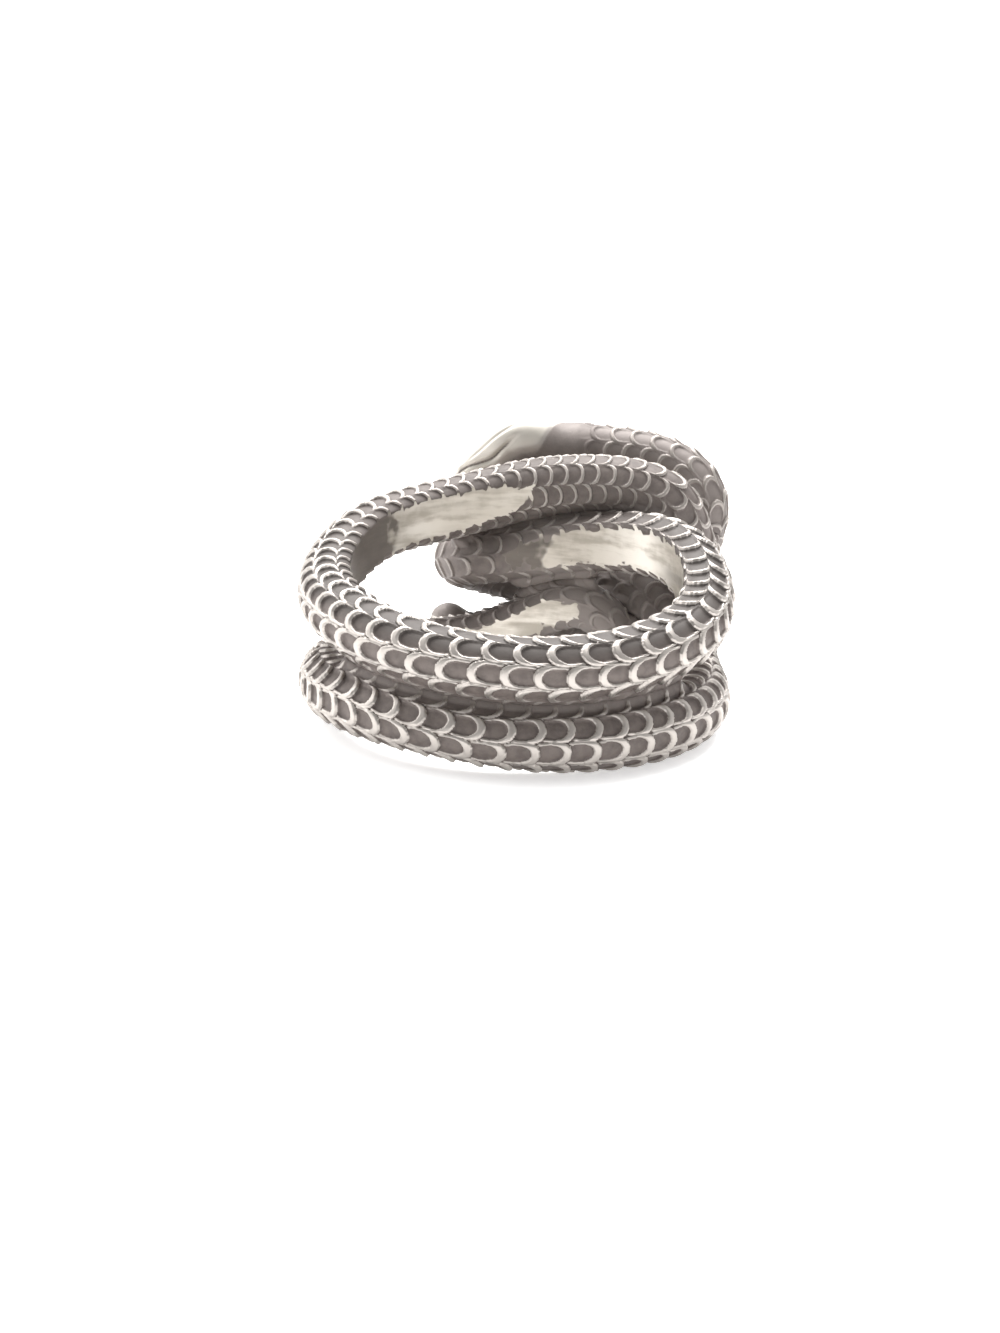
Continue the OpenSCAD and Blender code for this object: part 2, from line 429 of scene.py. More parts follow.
# The head's own relief, in millimetres outwards, and how dark it is there: a mouth with the lower jaw set
# back, and on each side a line along the snout, a nostril, a brow and an eye. The lines are bell curves of
# the distance from their middle in millimetres, and the eye is half a ball.
def headRelief(toNose, turned, reach):
    h = headValues
    degrees = np.degrees(np.abs(turned))
    alongMm = toNose * h["length"]
    mouthMm = np.radians(degrees - curveThrough(h["mouth"], toNose)) * reach
    mouthOn = ramp(toNose, *h["mouthEnd"]) * ramp(toNose, *h["mouthStart"])
    mouth = mouthOn * np.exp(-(mouthMm / h["mouthWidth"]) ** 2)
    jaw = mouthOn * smoothStep(mouthMm / h["jawEdge"] + 0.5) * ramp(degrees, *h["jawBottom"])
    ridgeMm = np.radians(degrees - curveThrough(h["ridge"], toNose)) * reach
    ridge = ramp(toNose, *h["ridgeEnd"]) * ramp(toNose, *h["ridgeStart"])
    ridge = ridge * np.exp(-(ridgeMm / h["ridgeWidth"]) ** 2)
    eyeAway = np.hypot(alongMm - h["eyePlace"] * h["length"], np.radians(degrees - h["eyeAngle"]) * reach)
    eye = np.sqrt(np.clip(1 - (eyeAway / h["eyeRadius"]) ** 2, 0, 1))
    socket = np.exp(-((eyeAway - h["eyeRadius"] - h["socketGap"]) / h["socket"]) ** 2)
    browLong = (alongMm - h["browPlace"] * h["length"]) / h["browSizes"][0]
    browWide = np.radians(degrees - h["browAngle"]) * reach / h["browSizes"][1]
    brow = np.exp(-np.hypot(browLong, browWide) ** 2)
    nostrilAway = np.hypot(alongMm - h["nostrilPlace"], np.radians(degrees - h["nostrilAngle"]) * reach)
    nostril = np.exp(-(nostrilAway / h["nostrilRadius"]) ** 2)
    height = h["eyeHeight"] * eye + h["browHeight"] * brow - h["socket"] * socket
    height -= h["nostrilDepth"] * nostril + h["mouthDepth"] * mouth
    height -= h["jawSetBack"] * jaw + h["ridgeDepth"] * ridge
    dark = np.maximum.reduce([mouth, h["ridgeDark"] * ridge, h["socketDark"] * socket, nostril])
    return height, dark


# What a user would change on the wear and the painted shade. Polish is 1 where wear keeps the silver bright
# and
# 0 where it stays dark; it also carries painted shade between the turns and under the head. Tables run
# against the distance along the body from the tail's tip, unless a note says otherwise.
# Outwards, up and towards another turn are 1 where the surface faces that way squarely and -1 where it
# faces the other way, and a pair of them says where a change begins and where it is complete.
wearValues = {
    "outwards": (-0.6, 0.2),  # the polish grows from the inside of a turn to its outside
    "insideShare": [(152, 0.34), (158, 0.75), (176, 0.75), (182, 0.4)],  # polish facing the finger hole
    "bodyShare": [(14, 0.25), (20, 1), (84, 1), (89, 0.12), (97, 0.12), (103, 1)],  # of all the polish
    "neckShare": [(1.1, 1), (1.4, 0.45), (4, 0.45), (6, 1)],  # the same, against head lengths from the nose
    "headStart": (1.3, 1.0),  # head lengths from the nose
    "headShare": 1.6,
    # painted shade: the head's side away from the finger hole is painted darker, against the lights behind
    "headBackPaintedShade": 0.55,   # how much duller the head is on the side away from the finger hole
    "headBack": (-0.1, 0.4),  # outwards
    # the edge of the throat, painted dark as patina and as the shade under the head, in degrees from the
    # crown, against head lengths from the nose
    "throat": [(0, 150), (0.4, 148), (0.62, 141), (0.84, 128), (0.92, 98), (1.0, 62), (1.14, 30), (1.3, 20)],
    "throatBlend": 26,        # degrees
    "throatStart": (1.5, 1.3),  # head lengths from the nose
    # how much of the polish is lost in the shade of another turn and on the throat: patina left in the
    # hollows, and painted shade
    "dulled": {"shade": 0.9, "throat": 0.95},
    "reach": 1.4,             # millimetres between two turns in which the polish fades
    "facesTurn": (-0.1, 0.6),  # towards another turn, for its shade
    # the webs are dark sheets that fill narrow gaps between turns, standing in for the shade there
    "webGap": (0.95, 0.75),   # millimetres between two turns at which a dark web of metal joins them
    "webFaces": (0.87, 0.96),  # towards another turn, for a web
    "webOverlap": 0.05,       # millimetres that each half of a web passes the middle of the gap
    "otherTurn": 6,           # millimetres along the body from which a place counts as another turn
    "gridStep": 4,            # other turns are looked for at every fourth ring and point
    "block": 60,              # rings looked at together, which bounds the memory
    "leastDepth": 0.35,       # how deep the pockets are where nothing is polished, as a share
    "webDepth": 0.7,          # how much shallower they are on the webs
    "flatTops": (0.75, 0.95),  # heights of a lip at which its normals lean towards the plain body's
    "flatFloors": (0.12, 0.02),  # the same for the floor of a pocket
    "flatLean": 0.5,          # how far they lean
    "leanLimit": 0.4,         # they lean where the plain normal points outwards by more than this cosine
    "dullBend": [(85, 0), (89, 1), (97, 1), (100, 0)],  # the dull hairpin bend behind the finger hole
    # where the flat inner face is darker and rougher, 1, or bright, 0
    "dullFlat": [
        (14, 1), (16.5, 0), (90, 0), (92, 1), (98, 1), (101.5, 0), (145, 0), (147, 1), (152.4, 1), (155, 0),
    ],
    # painted fill light: how much paler the shaded, unpolished pockets that face the finger hole are painted
    "paintedFillInner": [(100, 1), (108, 0.2), (157, 0.2), (162, 0.55), (176, 0.55), (182, 1)],
    "paleFrom": (0.6, 0.1),   # of the polish
    "paleLess": {"bend": 0.8, "throat": 0.5, "outside": 0.65},
    "paleOutside": (0.2, 0.5),  # outwards
    # painted shade: how much darker the pockets that look up are painted, against the light from above
    "paintedShadeTops": [(100, 0), (108, 1), (146, 1), (154, 0.35), (176, 0.35), (182, 0)],
    "looksUp": (0.3, 0.8),    # up
    "faintInner": [(88, 0.5), (98, 0)],  # how much fainter the lips are that face the finger hole
    "faintFrom": (0.1, -0.3),  # outwards
    # how much fainter the lips are on the webs, on the lines of the head and so on; on the webs, on the
    # throat and in another turn's shade this is painted shade
    "faint": {"shadeWeb": 0.8, "headLines": 0.6, "throat": 0.62, "plainTail": 0.58, "bend": 0.35, "shade": 0.22},
}


# Straight interpolation of a coarse grid, which closes on itself round the body, to every ring and point.
def spreadGrid(coarse, rings, around, step):
    k = np.arange(rings) / step
    i = np.minimum(k.astype(int), len(coarse) - 2)
    f = (k - i)[:, None]
    rows = coarse[i] * (1 - f) + coarse[i + 1] * f
    m = np.arange(around) / step
    j = m.astype(int)
    g = (m - j)[None, :]
    return rows[:, j] * (1 - g) + rows[:, (j + 1) % coarse.shape[1]] * g


# How much another turn shades each point, how surely it lies on a web between two turns, and how tall the
# web is. The web is a dark sheet that fills a narrow gap and stands in for the shade there. A turn shades
# more the narrower the gap is and the more squarely the surface faces it.
def lookForTurns(line, way, reach):
    v, step = wearValues, wearValues["gridStep"]
    coarseWay = way[::step, ::step]
    start = line["centre"][::step, None, :] + coarseWay * reach[::step, ::step, None]
    start, coarseWay = start.astype(np.float32), coarseWay.astype(np.float32)
    along = line["along"][::step]
    others, radii = line["centre"][::step].astype(np.float32), line["radius"][::step].astype(np.float32)
    shade, shadeWeb, tall = (np.zeros(start.shape[:2]) for _ in range(3))
    for first in range(0, len(start), v["block"]):
        part = slice(first, first + v["block"])
        apart = others[None, None, :, :] - start[part][:, :, None, :]
        distance = np.maximum(np.sqrt((apart ** 2).sum(3)), 1e-3)
        facing = np.einsum("kmji,kmi->kmj", apart, coarseWay[part]) / distance
        gap = distance - radii
        far = (np.abs(along[None, :] - along[part, None]) > v["otherTurn"])[:, None, :]
        near = ramp(gap, v["reach"], 0) * ramp(facing, *v["facesTurn"])
        shade[part] = (near * far).max(2)
        onShadeWeb = ramp(gap, *v["webGap"]) * ramp(facing, *v["webFaces"]) * far
        shadeWeb[part] = onShadeWeb.max(2)
        tall[part] = (onShadeWeb * (gap / 2 + v["webOverlap"])).max(2)
    rings, around = way.shape[:2]
    return tuple(spreadGrid(field, rings, around, step) for field in (shade, shadeWeb, tall))


# Polish is full where the surface faces away from the finger hole and less where it faces it. It fades in
# the shade of other turns, which leaves patina in the hollows and paints their shade. The head is bright but
# for its throat, painted dark as patina and as the shade under the head, which is also given back.
def makePolishAndShade(line, section, shade):
    v, toNose, outwards = wearValues, section["toNose"], section["outwards"]
    inside = alongBody(line, v["insideShare"])
    polishAndShade = inside + (1 - inside) * ramp(outwards, *v["outwards"])
    onHead = ramp(toNose, *v["headStart"])[:, None]
    # painted shade on the head's side away from the finger hole
    headShare = v["headShare"] * (1 - v["headBackPaintedShade"] * ramp(outwards, *v["headBack"]))
    polishAndShade = polishAndShade * (1 - onHead) + headShare * onHead
    share = lookUp(v["neckShare"], toNose) * lookUp(v["bodyShare"], line["along"])
    # the throat is painted dark: patina, and the painted shade under the head
    edge = curveThrough(v["throat"], toNose)[:, None]
    throat = smoothStep((np.degrees(np.abs(section["turned"]))[None, :] - edge) / v["throatBlend"] + 0.5)
    throat = throat * ramp(toNose, *v["throatStart"])[:, None]
    # the shade of other turns and the throat take polish away: painted shade, with patina in the hollows
    dulled = (1 - v["dulled"]["shade"] * shade) * (1 - v["dulled"]["throat"] * throat)
    return polishAndShade * share[:, None] * dulled, throat


# The plain section of the body at every ring: an ellipse as wide and as high as the body or the head is
# there, as a direction and a distance from the centre for every point. Pull is how strongly the body bends
# that way, and outwards is 1 where the direction points away from the finger hole.
def makeSection(line):
    b, h = bodyValues, headValues
    angles = np.radians(b["firstRow"]) + np.linspace(0, 2 * np.pi, b["around"], endpoint=False)
    tilt = np.radians(h["crownSide"])
    top, side = line["top"][:, None, :], line["side"][:, None, :]
    crown = top * np.cos(tilt) + side * np.sin(tilt)
    flank = side * np.cos(tilt) - top * np.sin(tilt)
    toNose = (line["length"] - line["along"]) / h["length"]
    share = ramp(toNose, *h["neck"])
    plainEnd = np.sqrt(1 - (1 - np.clip(line["along"] / b["tipRounding"], 0, 1)) ** 2)
    radius = np.maximum(line["radius"], b["leastRadius"]) * plainEnd
    halfWide = (1 - share) * radius + share * curveThrough(h["halfWidths"], toNose) * h["width"] / 2
    halfHigh = (1 - share) * radius + share * curveThrough(h["halfHeights"], toNose) * h["height"] / 2
    turned = (angles - tilt + np.pi) % (2 * np.pi) - np.pi
    plain = crown * (np.cos(turned)[:, None] * halfHigh[:, None, None])
    plain = plain + flank * (np.sin(turned)[:, None] * halfWide[:, None, None])
    reach = np.linalg.norm(plain, axis=2)
    way = plain / np.maximum(reach, 1e-9)[:, :, None]
    fromAxis = unitRows(line["centre"] * np.array([1.0, 1.0, 0.0]))
    return {
        "angles": angles, "turned": turned, "toNose": toNose, "way": way, "reach": reach,
        "pull": np.einsum("kmi,ki->km", way, line["bend"]),
        "outwards": np.einsum("kmi,ki->km", way, fromAxis),
    }


# The scales on that section. Their length shrinks inside a bend and grows outside it, and they fade into
# the plain tail and the plain head. Depth is how far a pocket is sunk there, in millimetres.
def makeScales(line, section):
    v, b = scaleValues, bodyValues
    scaleLength = alongBody(line, scaleLengths)
    radius = line["radius"][:, None]
    period = scaleLength * np.clip(1 - section["pull"] * radius, *b["squeeze"])
    rowWidth = 2 * np.pi * radius / b["rows"]
    worn = ramp(section["outwards"], *v["wornFrom"])
    relief, lipPlace = scaleRelief(line, section["angles"], period, rowWidth, worn)
    plainTail = 1 - ramp(line["along"], *v["tailPlain"])[:, None]
    scaled = (1 - plainTail) * ramp(section["toNose"], *v["headPlain"])[:, None]
    relief = 1 - (1 - relief) * scaled
    fullLength, leastByLength = v["fullLength"]
    fullRadius, leastByRadius = v["fullRadius"]
    depth = v["depth"] * np.clip(period / fullLength, leastByLength, 1)
    depth = depth * np.clip(radius / fullRadius, leastByRadius, 1)
    return relief, lipPlace * scaled, depth, plainTail


# Normals of a grid of points that closes on itself round the body: the cross product of both directions.
def normalsOf(points):
    acrossWay = np.roll(points, -1, 1) - np.roll(points, 1, 1)
    alongWay = np.gradient(points, axis=0)
    return unitRows(np.cross(acrossWay, alongWay))


# Painted light and shade in the pockets: above 0 a pale painted fill where they face the finger hole
# unpolished, below 0 painted shade where they look up.
def paintedPocketTones(line, section, polishAndShade, throat, atBend):
    v = wearValues
    less = v["paleLess"]
    paintedFill = ramp(polishAndShade, *v["paleFrom"]) * alongBody(line, v["paintedFillInner"])
    paintedFill = paintedFill * (1 - less["bend"] * atBend) * (1 - less["throat"] * throat)
    paintedFill = paintedFill * (1 - less["outside"] * ramp(section["outwards"], *v["paleOutside"]))
    # pockets that look up get painted shade
    up = ramp(section["way"][:, :, 2], *v["looksUp"])
    return paintedFill - up * alongBody(line, v["paintedShadeTops"])


# The surface of the whole snake: every ring is the section of the body there, lowered between the scales'
# lips, flattened inside tight bends and cut off at the finger hole. On the tops of the lips and the floors
# of the pockets the normals lean towards those of the plain body, which makes them read as flat.
def makeSurface(line):
    b, v = bodyValues, wearValues
    section = makeSection(line)
    way, reach, pull, toNose = section["way"], section["reach"], section["pull"], section["toNose"]
    relief, lipPlace, depth, plainTail = makeScales(line, section)
    shade, shadeWeb, tall = lookForTurns(line, way, reach)
    polishAndShade, throat = makePolishAndShade(line, section, shade)
    depth = depth * (v["leastDepth"] + (1 - v["leastDepth"]) * np.sqrt(polishAndShade)) * (1 - v["webDepth"] * shadeWeb)
    reach = reach + tall
    near = toNose < headValues["reliefEnd"]
    headHeight, headDark = headRelief(toNose[near][:, None], section["turned"][None, :], reach[near])
    reach[near] += headHeight
    centre = line["centre"][:, None, :]
    plainNormals = normalsOf(centre + way * reach[:, :, None])
    level = np.maximum(ramp(relief, *v["flatTops"]), ramp(relief, *v["flatFloors"]))
    level = level * (relief < 1) * ((plainNormals * way).sum(2) > v["leanLimit"])

    reach = reach - depth * (1 - relief)
    reach = np.where(reach * pull > b["bendLimit"], b["bendLimit"] / np.maximum(pull, 1e-6), reach)
    points = centre + way * reach[:, :, None]
    fromAxis = np.hypot(points[:, :, 0], points[:, :, 1])
    cut = fromAxis < b["holeRadius"]
    shaved = np.clip(b["holeRadius"] - fromAxis, 0, 2)
    points[:, :, :2] *= np.maximum(b["holeRadius"] / np.maximum(fromAxis, 1e-6), 1)[:, :, None]

    normals = normalsOf(points)
    normals = unitRows(normals + (plainNormals - normals) * (v["flatLean"] * level)[:, :, None])
    inward = -points[:, :, :2] / np.hypot(points[:, :, 0], points[:, :, 1])[:, :, None]
    normals[cut] = np.concatenate([inward, np.zeros_like(inward[:, :, :1])], 2)[cut]
    normals[0], normals[-1] = -line["run"][0], line["run"][-1]

    faint = v["faint"]
    atBend = alongBody(line, v["dullBend"])
    hidden = alongBody(line, v["faintInner"]) * ramp(section["outwards"], *v["faintFrom"])
    # the webs and the throat lose their lips and read dark: painted shade
    relief = relief * (1 - faint["shadeWeb"] * shadeWeb) * (1 - faint["throat"] * throat)
    relief = relief * (1 - faint["plainTail"] * plainTail) * (1 - hidden)
    # lips fade at the bend and, as painted shade, in another turn's shade
    relief = relief * (1 - faint["bend"] * atBend) * (1 - faint["shade"] * shade)
    relief[near] *= 1 - faint["headLines"] * headDark
    fields = {
        "relief": relief, "polishAndShade": polishAndShade, "shaved": shaved, "lipPlace": lipPlace,
        "dullFlat": alongBody(line, v["dullFlat"]) + np.zeros_like(polishAndShade),
        # painted light and shade in the pockets
        "inner": paintedPocketTones(line, section, polishAndShade, throat, atBend),
    }
    return {"points": points, "normals": normals, "fields": fields}


# Turns rings first to last of the surface into one closed mesh: four-sided faces between neighbouring rings
# and a fan from a middle point over each end. The fan that joins another piece is flat across the body.
def makePiece(name, line, surface, first, last, finish):
    around = bodyValues["around"]
    points = surface["points"][first : last + 1].reshape(-1, 3)
    rings = last - first + 1
    k, m = np.meshgrid(np.arange(rings - 1), np.arange(around), indexing="ij")
    nextM = (m + 1) % around
    quads = np.stack([k * around + m, k * around + nextM, (k + 1) * around + nextM, (k + 1) * around + m], 2)
    quads = quads.reshape(-1, 4)
    ends = np.stack([surface["points"][first].mean(0), surface["points"][last].mean(0)])
    tailPole, headPole = len(points), len(points) + 1
    m = np.arange(around)
    after = (m + 1) % around
    lastRing = (rings - 1) * around
    tailFan = np.stack([after, m, np.full(around, tailPole)], 1)
    headFan = np.stack([m + lastRing, after + lastRing, np.full(around, headPole)], 1)
    mesh = bpy.data.meshes.new(name)
    allPoints = np.vstack([points, ends]) * millimetre
    corners = np.concatenate([quads.ravel(), tailFan.ravel(), headFan.ravel()])
    sizes = np.r_[np.full(len(quads), 4), np.full(2 * around, 3)]
    mesh.vertices.add(len(allPoints))
    mesh.vertices.foreach_set("co", allPoints.ravel())
    mesh.loops.add(len(corners))
    mesh.loops.foreach_set("vertex_index", corners)
    mesh.polygons.add(len(sizes))
    mesh.polygons.foreach_set("loop_start", np.r_[0, np.cumsum(sizes)[:-1]])
    mesh.update(calc_edges=True)
    mesh.polygons.foreach_set("use_smooth", np.ones(len(sizes), bool))

    for field, values in surface["fields"].items():
        values = np.r_[values[first : last + 1].ravel(), values[first].mean(), values[last].mean()]
        mesh.attributes.new(field, "FLOAT", "POINT").data.foreach_set("value", values.astype(np.float32))
    ringPhase = line["phase"][first : last + 1]
    quadU = np.stack([ringPhase[k], ringPhase[k], ringPhase[k + 1], ringPhase[k + 1]], 2)
    column = np.arange(around)[None, :].repeat(rings - 1, 0) / around * bodyValues["rows"]
    stepRow = bodyValues["rows"] / around
    quadV = np.stack([column, column + stepRow, column + stepRow, column], 2)
    fanU = np.r_[np.full(3 * around, ringPhase[0]), np.full(3 * around, ringPhase[-1])]
    uv = np.stack([np.r_[quadU.ravel(), fanU], np.r_[quadV.ravel(), np.zeros(6 * around)]], 1)
    mesh.uv_layers.new(name="scalePattern").data.foreach_set("uv", uv.astype(np.float32).ravel())

    ringNormals = surface["normals"][first : last + 1].reshape(-1, 3)
    normals = np.vstack([ringNormals, -line["run"][first], line["run"][last]])
    cornerNormals = normals[corners]
    fanOf = np.r_[np.zeros(4 * len(quads), int), np.full(3 * around, -1), np.full(3 * around, 1)]
    if first > 0:
        cornerNormals[fanOf < 0] = -line["run"][first]
    if last < len(line["phase"]) - 1:
        cornerNormals[fanOf > 0] = line["run"][last]
    mesh.normals_split_custom_set(cornerNormals)
    mesh.materials.append(finish)
    piece = bpy.data.objects.new(name, mesh)
    bpy.context.scene.collection.objects.link(piece)
    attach(piece, "root")
    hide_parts("snake_ring")
    print("made", name, "with", 2 * len(quads) + 2 * around, "triangles")


# A shader socket that can be used in plain arithmetic.
class Wire:
    def __init__(self, shader, socket):
        self.shader = shader
        self.socket = socket

    def maths(self, operation, first, second=0.0):
        return self.shader.node("ShaderNodeMath", {"operation": operation}, {0: first, 1: second})

    def __add__(self, other):
        return self.maths("ADD", self, other)

    def __radd__(self, other):
        return self.maths("ADD", other, self)

    def __sub__(self, other):
        return self.maths("SUBTRACT", self, other)

    def __rsub__(self, other):
        return self.maths("SUBTRACT", other, self)

    def __mul__(self, other):
        return self.maths("MULTIPLY", self, other)

    def __rmul__(self, other):
        return self.maths("MULTIPLY", other, self)

    def abs(self):
        return self.maths("ABSOLUTE", self)

    def highest(self, other):
        return self.maths("MAXIMUM", self, other)

    def clamp(self):
        return self.maths("MINIMUM", self.highest(0.0), 1.0)


# The nodes of a material or a world. They are made by one method, from a type, its settings and the values
# or wires of its sockets.
class Shader:
    def __init__(self, owner):
        owner.use_nodes = True
        self.tree = owner.node_tree
        self.tree.nodes.clear()

    def node(self, kind, settings=None, sockets=None, output=0):
        made = self.tree.nodes.new(kind)
        for key, value in (settings or {}).items():
            setattr(made, key, value)
        for key, value in (sockets or {}).items():
            if isinstance(value, Wire):
                self.tree.links.new(value.socket, made.inputs[key])
            else:
                made.inputs[key].default_value = value
        return Wire(self, made.outputs[output] if len(made.outputs) else None)

    # smooth step from low to high, on to the two ends of the result
    def between(self, wire, low, high, start=0.0, end=1.0):
        sockets = {"Value": wire, "From Min": low, "From Max": high, "To Min": start, "To Max": end}
        return self.node("ShaderNodeMapRange", {"interpolation_type": "SMOOTHSTEP"}, sockets)

    def mixColour(self, factor, first, second):
        return self.node("ShaderNodeMix", {"data_type": "RGBA"}, {0: factor, 6: first, 7: second}, 2)

    def mixValue(self, factor, first, second):
        return self.node("ShaderNodeMix", {"data_type": "FLOAT"}, {0: factor, 2: first, 3: second})

    def noise(self, place, scale, detail):
        sockets = {"Vector": place, "Scale": scale, "Detail": detail, "Roughness": 0.55}
        return self.node("ShaderNodeTexNoise", {"noise_dimensions": "3D"}, sockets)

    def field(self, name):
        return self.node("ShaderNodeAttribute", {"attribute_name": name}, None, 2)


# What a user would change on the silver. Colours are linear. Sizes are the scales of the noises. A pair is
# the two ends of a smooth step. Amounts say how much of a noise, which runs from 0 to 1, is added.
silverValues = {
    "lipColour": (0.43, 0.397, 0.368, 1),
    "lipDull": (0.30, 0.27, 0.248, 1),
    "flatColour": (0.6, 0.565, 0.51, 1),
    "flatStain": (0.37, 0.335, 0.285, 1),
    "flatDull": (0.2, 0.178, 0.16, 1),
    "pocketColour": (0.145, 0.12, 0.108, 1),
    "pocketDark": (0.1, 0.082, 0.074, 1),
    # painted fill light: the pale colour of shaded pockets that face the finger hole
    "pocketPaintedLight": (0.24, 0.21, 0.195, 1),
    # painted shade: the dark colour of pockets that look up
    "pocketPaintedShade": (0.068, 0.057, 0.051, 1),
    "lipRoughness": 0.44,
    "dullRoughness": 0.56,
    "flatRoughness": 0.36,
    "headDulled": 0.1,          # added to the roughness of the lips' metal on the head
    "pocketRoughness": 0.6,
    "pocketMetal": 0.25,
    "sizes": {
        "coarse": 350, "blotches": 900, "middle": 1600, "fine": 9000, "streaks": 260, "hairlines": 2400,
    },
    "streakStretch": (1, 1, 6),
    "flatFrom": (0.004, 0.02),  # millimetres that the finger hole cut off
    "remains": (0.42, 0.5),     # where dark remains of the pockets are left on the flats
    "remainsLess": 1.1,         # how much sooner they end for each millimetre cut off
    "remainsUntil": (0.4, 0.15),
    "remainsDark": {"flat": 0.9, "bright": 0.85},  # how far they take the flat and its brightness away
    "remainsOff": (0.0, 0.01),
    "lipFrom": (0.34, 0.6),     # of the relief
    "lipAmount": 0.14,
    "shineAmounts": {"middle": 0.35, "coarse": 0.3},
    # a darker stripe along the middle of the less worn lips, painted shade that leaves their edges as
    # highlights
    "grooveMiddle": 0.52,       # place across a lip
    "grooveWidth": (0.16, 0.05),
    "grooveUntil": (1.0, 0.8),  # of the polish
    "grooveFrom": (0.6, 0.9),   # of the relief
    "grooveDark": 0.6,
    "brightHead": (1.0, 1.7),   # of the polish
    "stains": (0.42, 0.68),
    "stainShare": 0.7,
    "stainAmount": 0.3,
    "dullFrom": (0.35, 0.65),
    "dullAmount": 1.4,
    "pocketBlend": (0.35, 0.7),
    "headRough": (1.0, 1.6),    # of the polish
    "streakRough": (0.4, 0.7),
    "roughAmounts": {"streaks": 0.16, "dull": 0.2, "all": 0.12},
    "grainDepth": 0.00002,      # metres
    "grainStrength": 0.3,
}


# Cast silver: dark in the pockets, bright on the lips as far as they are worn, polished and streaked on the
# flats that the finger hole cuts. Painted fill light and painted shade also tint the pockets and the lips.
# Each colour is mixed in by a smooth step of its field and some noise.
def makeSilver():
    v, sizes = silverValues, silverValues["sizes"]
    material = bpy.data.materials.new("castSilver")
    s = Shader(material)
    place = s.node("ShaderNodeTexCoord", None, None, 3)
    relief = s.field("relief")
    lipPlace = s.field("lipPlace")
    # polish, which also carries the painted shade of other turns and of the throat
    polishAndShade = s.field("polishAndShade")
    shaved = s.field("shaved")
    dullFlat = s.field("dullFlat")
    # painted light and shade in the pockets: above 0 a pale fill, below 0 dark
    inner = s.field("inner")
    stretched = s.node("ShaderNodeVectorMath", {"operation": "MULTIPLY"}, {0: place, 1: v["streakStretch"]})
    coarse = s.noise(place, sizes["coarse"], 4.0)
    blotches = s.noise(place, sizes["blotches"], 2.0)
    middle = s.noise(place, sizes["middle"], 4.0)
    fine = s.noise(place, sizes["fine"], 3.0)
    streaks = s.noise(stretched, sizes["streaks"], 3.0)
    hairlines = s.noise(stretched, sizes["hairlines"], 3.0)

    # the flat is where the finger hole cut into the body; where it cut least, dark pockets remain
    less = v["remainsDark"]
    remains = s.between(blotches - v["remainsLess"] * shaved, *v["remains"])
    remains = remains * s.between(shaved, *v["remainsUntil"])
    flat = s.between(shaved, *v["flatFrom"]) * (1 - less["flat"] * remains)
    lip = s.between(relief + v["lipAmount"] * (fine - 0.5), *v["lipFrom"])
    bright = lip.highest(flat) * (1 - less["bright"] * remains * s.between(shaved, *v["remainsOff"]))

    amounts = v["shineAmounts"]
    shine = (polishAndShade + amounts["middle"] * (middle - 0.5) + amounts["coarse"] * (coarse - 0.5)).clamp()
    # painted shade along the middle of each less worn lip, so that its edges read as highlights
    middleShade = s.between((lipPlace - v["grooveMiddle"]).abs(), *v["grooveWidth"])
    middleShade = middleShade * s.between(polishAndShade, *v["grooveUntil"]) * s.between(relief, *v["grooveFrom"])
    lipColour = s.mixColour(shine * (1 - v["grooveDark"] * middleShade), v["lipDull"], v["lipColour"])
    lipColour = s.mixColour(s.between(polishAndShade, *v["brightHead"]), lipColour, v["flatColour"])
    stained = v["stainShare"] * s.between(streaks + v["stainAmount"] * (middle - 0.5), *v["stains"])
    flatColour = s.mixColour(stained, v["flatColour"], v["flatStain"])
    dull = s.between(dullFlat + v["dullAmount"] * (blotches - 0.5), *v["dullFrom"])
    flatColour = s.mixColour(dull, flatColour, v["flatDull"])
    pocketColour = s.mixColour(s.between(middle, *v["pocketBlend"]), v["pocketColour"], v["pocketDark"])
    # the pale painted fill light in the shaded pockets that face the finger hole
    pocketColour = s.mixColour(inner.clamp(), pocketColour, v["pocketPaintedLight"])
    # painted shade on the pockets that look up
    pocketColour = s.mixColour((-1 * inner).clamp(), pocketColour, v["pocketPaintedShade"])
    colour = s.mixColour(bright, pocketColour, s.mixColour(flat, lipColour, flatColour))

    lipRough = s.mixValue(shine, v["dullRoughness"], v["lipRoughness"])
    lipRough = lipRough + v["headDulled"] * s.between(polishAndShade, *v["headRough"])
    amounts = v["roughAmounts"]
    flatRough = v["flatRoughness"] + amounts["streaks"] * s.between(streaks, *v["streakRough"])
    flatRough = flatRough + amounts["dull"] * dull
    rough = s.mixValue(bright, v["pocketRoughness"], s.mixValue(flat, lipRough, flatRough))
    rough = rough + amounts["all"] * (middle - 0.5)
    metallic = s.mixValue(bright, v["pocketMetal"], s.mixValue(flat, 0.5 + 0.5 * shine, 1.0))
    height = s.mixValue(flat, fine + 2 * middle, 4 * streaks + 0.4 * hairlines)
    bump = {"Strength": v["grainStrength"], "Distance": v["grainDepth"], "Height": height}
    grain = s.node("ShaderNodeBump", None, bump)
    shader = s.node("ShaderNodeBsdfPrincipled", None, {
        "Base Color": colour, "Roughness": rough, "Metallic": metallic, "Normal": grain,
    })
    s.node("ShaderNodeOutputMaterial", None, {"Surface": shader})
    return material


# The whole snake, cut into pieces with the same number of rings.
def makeRing():
    line = makeLine()
    surface = makeSurface(line)
    finish = makeSilver()
    names = bodyValues["pieceNames"]
    edges = np.linspace(0, len(line["phase"]) - 1, len(names) + 1).astype(int)
    print("body length", round(float(line["length"]), 1), "mm")
    print("body length", round(float(line["phase"][-1]), 1), "scales")
    for i, name in enumerate(names):
        makePiece(name, line, surface, edges[i], edges[i + 1], finish)


